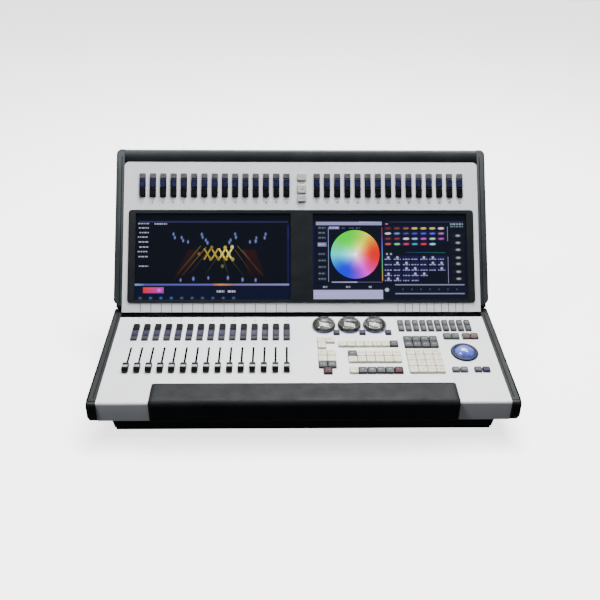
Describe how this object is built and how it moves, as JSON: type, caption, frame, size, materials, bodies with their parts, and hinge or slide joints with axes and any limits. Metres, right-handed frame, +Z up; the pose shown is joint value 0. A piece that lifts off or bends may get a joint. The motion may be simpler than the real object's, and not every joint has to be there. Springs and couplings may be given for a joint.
{
  "type": "lighting control desk",
  "caption": "Stage lighting control desk: sloping deck with faders, keys, jog wheels and a trackball, and a tilting section with two touch displays.",
  "frame": {"origin": "centre of the footprint, on the table under the feet", "axes": "+X to the operator's right, +Y away from the operator, +Z up"},
  "size_m": [0.831, 0.5382, 0.4212],
  "materials": {
    "black_paint": "satin black powder coat on sheet steel",
    "white_paint": "fine satin grey-white powder coat on sheet aluminium",
    "cheek_plastic": "moulded dark grey structural foam, satin",
    "armrest_foam": "integral-skin polyurethane foam with a fine leather grain",
    "black_plastic": "moulded black nylon",
    "plated_steel": "zinc-plated steel",
    "foot_rubber": "black rubber strip",
    "circuit_board": "green glass-epoxy circuit board",
    "fader_cap": "black cap with a grey dished band",
    "clear_wheel": "clear moulded wheel over a silvered insert, softly lit from below",
    "ball_blue": "polished pale blue ball",
    "ring_blue": "satin dark blue ring",
    "display_glass": "touch glass over a lit panel; emissive",
    "blue_keys": "silicone keys in black, blue and grey",
    "grey_keys": "silicone keys in grey",
    "beige_keys": "silicone keys in ivory, with dark grey and red ones"
  },
  "bodies": {
    "root": {"base_tray": "black_paint", "deck_panel": "white_paint", "left_cheek": "cheek_plastic", "right_cheek": "cheek_plastic", "armrest": "armrest_foam", "rear_panel": "black_paint", "dmx_sockets": "black_plastic", "data_sockets": "plated_steel", "power_inlet": "black_plastic", "front_foot_strip": "foot_rubber", "rear_foot_strip": "foot_rubber", "power_supply": "plated_steel", "main_board": "circuit_board", "hinge_bar": "black_paint", "fader_bank": "black_plastic", "encoder_board": "circuit_board", "trackball_socket": "black_plastic"},
    "screen": {"screen_tray": "black_paint", "face_panel": "white_paint", "screen_bezel": "black_plastic", "left_display": "display_glass", "right_display": "display_glass", "top_bar": "cheek_plastic", "left_screen_cheek": "cheek_plastic", "right_screen_cheek": "cheek_plastic", "preset_board": "circuit_board"},
    "fader_01": {"fader_01": "fader_cap"},
    "fader_02": {"fader_02": "fader_cap"},
    "fader_03": {"fader_03": "fader_cap"},
    "fader_04": {"fader_04": "fader_cap"},
    "fader_05": {"fader_05": "fader_cap"},
    "fader_06": {"fader_06": "fader_cap"},
    "fader_07": {"fader_07": "fader_cap"},
    "fader_08": {"fader_08": "fader_cap"},
    "fader_09": {"fader_09": "fader_cap"},
    "fader_10": {"fader_10": "fader_cap"},
    "fader_11": {"fader_11": "fader_cap"},
    "fader_12": {"fader_12": "fader_cap"},
    "fader_13": {"fader_13": "fader_cap"},
    "fader_14": {"fader_14": "fader_cap"},
    "fader_15": {"fader_15": "fader_cap"},
    "wheel_left": {"wheel_left": "clear_wheel"},
    "wheel_middle": {"wheel_middle": "clear_wheel"},
    "wheel_right": {"wheel_right": "clear_wheel"},
    "trackball": {"trackball": "ball_blue"},
    "trackball_ring": {"trackball_ring": "ring_blue"},
    "power_switch": {"power_switch": "black_plastic"},
    "playback_keys": {"playback_keys": "blue_keys"},
    "macro_keys": {"macro_keys": "grey_keys"},
    "wheel_keys": {"wheel_keys": "blue_keys"},
    "trackball_keys": {"trackball_keys": "grey_keys"},
    "number_keypad": {"number_keypad": "beige_keys"},
    "command_keypad": {"command_keypad": "beige_keys"},
    "record_keypad": {"record_keypad": "beige_keys"},
    "preset_keys_left": {"preset_keys_left": "blue_keys"},
    "preset_keys_right": {"preset_keys_right": "blue_keys"},
    "page_keys": {"page_keys": "beige_keys"}
  },
  "joints": [
    {"name": "screen_tilt", "type": "hinge", "parent": "root", "child": "screen", "pos_m": [0, 0.02324, 0.1104], "axis": [1, 0, 0], "range_deg": [-20, 20]},
    {"name": "fader_01_slide", "type": "slide", "parent": "root", "child": "fader_01", "axis": [0, 0.9945, 0.1045], "range_m": [0, 0.06]},
    {"name": "fader_02_slide", "type": "slide", "parent": "root", "child": "fader_02", "axis": [0, 0.9945, 0.1045], "range_m": [0, 0.06]},
    {"name": "fader_03_slide", "type": "slide", "parent": "root", "child": "fader_03", "axis": [0, 0.9945, 0.1045], "range_m": [0, 0.06]},
    {"name": "fader_04_slide", "type": "slide", "parent": "root", "child": "fader_04", "axis": [0, 0.9945, 0.1045], "range_m": [0, 0.06]},
    {"name": "fader_05_slide", "type": "slide", "parent": "root", "child": "fader_05", "axis": [0, 0.9945, 0.1045], "range_m": [0, 0.06]},
    {"name": "fader_06_slide", "type": "slide", "parent": "root", "child": "fader_06", "axis": [0, 0.9945, 0.1045], "range_m": [0, 0.06]},
    {"name": "fader_07_slide", "type": "slide", "parent": "root", "child": "fader_07", "axis": [0, 0.9945, 0.1045], "range_m": [0, 0.06]},
    {"name": "fader_08_slide", "type": "slide", "parent": "root", "child": "fader_08", "axis": [0, 0.9945, 0.1045], "range_m": [0, 0.06]},
    {"name": "fader_09_slide", "type": "slide", "parent": "root", "child": "fader_09", "axis": [0, 0.9945, 0.1045], "range_m": [0, 0.06]},
    {"name": "fader_10_slide", "type": "slide", "parent": "root", "child": "fader_10", "axis": [0, 0.9945, 0.1045], "range_m": [0, 0.06]},
    {"name": "fader_11_slide", "type": "slide", "parent": "root", "child": "fader_11", "axis": [0, 0.9945, 0.1045], "range_m": [0, 0.06]},
    {"name": "fader_12_slide", "type": "slide", "parent": "root", "child": "fader_12", "axis": [0, 0.9945, 0.1045], "range_m": [0, 0.06]},
    {"name": "fader_13_slide", "type": "slide", "parent": "root", "child": "fader_13", "axis": [0, 0.9945, 0.1045], "range_m": [0, 0.06]},
    {"name": "fader_14_slide", "type": "slide", "parent": "root", "child": "fader_14", "axis": [0, 0.9945, 0.1045], "range_m": [0, 0.06]},
    {"name": "fader_15_slide", "type": "slide", "parent": "root", "child": "fader_15", "axis": [0, 0.9945, 0.1045], "range_m": [0, 0.06]},
    {"name": "wheel_left_turn", "type": "hinge", "parent": "root", "child": "wheel_left", "pos_m": [0.046, -0.02652, 0.1128], "axis": [0, -0.1045, 0.9945], "continuous": true},
    {"name": "wheel_middle_turn", "type": "hinge", "parent": "root", "child": "wheel_middle", "pos_m": [0.101, -0.02652, 0.1128], "axis": [0, -0.1045, 0.9945], "continuous": true},
    {"name": "wheel_right_turn", "type": "hinge", "parent": "root", "child": "wheel_right", "pos_m": [0.156, -0.02652, 0.1128], "axis": [0, -0.1045, 0.9945], "continuous": true},
    {"name": "trackball_roll", "type": "hinge", "parent": "root", "child": "trackball", "pos_m": [0.3335, -0.11478, 0.09146], "axis": [1, 0, 0], "continuous": true},
    {"name": "trackball_ring_turn", "type": "hinge", "parent": "root", "child": "trackball_ring", "pos_m": [0.3335, -0.11613, 0.10439], "axis": [0, -0.1045, 0.9945], "continuous": true},
    {"name": "power_switch_rock", "type": "hinge", "parent": "root", "child": "power_switch", "pos_m": [-0.248, 0.19924, 0.034], "axis": [1, 0, 0], "range_deg": [0, 12]},
    {"name": "playback_keys_press", "type": "slide", "parent": "root", "child": "playback_keys", "axis": [0, 0.1045, -0.9945], "range_m": [0, 0.002], "stiffness_N_per_m": 1000, "springref_m": -0.002},
    {"name": "macro_keys_press", "type": "slide", "parent": "root", "child": "macro_keys", "axis": [0, 0.1045, -0.9945], "range_m": [0, 0.002], "stiffness_N_per_m": 1000, "springref_m": -0.002},
    {"name": "wheel_keys_press", "type": "slide", "parent": "root", "child": "wheel_keys", "axis": [0, 0.1045, -0.9945], "range_m": [0, 0.002], "stiffness_N_per_m": 1000, "springref_m": -0.002},
    {"name": "trackball_keys_press", "type": "slide", "parent": "root", "child": "trackball_keys", "axis": [0, 0.1045, -0.9945], "range_m": [0, 0.002], "stiffness_N_per_m": 1000, "springref_m": -0.002},
    {"name": "number_keypad_press", "type": "slide", "parent": "root", "child": "number_keypad", "axis": [0, 0.1045, -0.9945], "range_m": [0, 0.002], "stiffness_N_per_m": 1000, "springref_m": -0.002},
    {"name": "command_keypad_press", "type": "slide", "parent": "root", "child": "command_keypad", "axis": [0, 0.1045, -0.9945], "range_m": [0, 0.002], "stiffness_N_per_m": 1000, "springref_m": -0.002},
    {"name": "record_keypad_press", "type": "slide", "parent": "root", "child": "record_keypad", "axis": [0, 0.1045, -0.9945], "range_m": [0, 0.002], "stiffness_N_per_m": 1000, "springref_m": -0.002},
    {"name": "preset_keys_left_press", "type": "slide", "parent": "screen", "child": "preset_keys_left", "axis": [0, 0.8161, -0.5779], "range_m": [0, 0.002], "stiffness_N_per_m": 1000, "springref_m": -0.002},
    {"name": "preset_keys_right_press", "type": "slide", "parent": "screen", "child": "preset_keys_right", "axis": [0, 0.8161, -0.5779], "range_m": [0, 0.002], "stiffness_N_per_m": 1000, "springref_m": -0.002},
    {"name": "page_keys_press", "type": "slide", "parent": "screen", "child": "page_keys", "axis": [0, 0.8161, -0.5779], "range_m": [0, 0.002], "stiffness_N_per_m": 1000, "springref_m": -0.002}
  ]
}
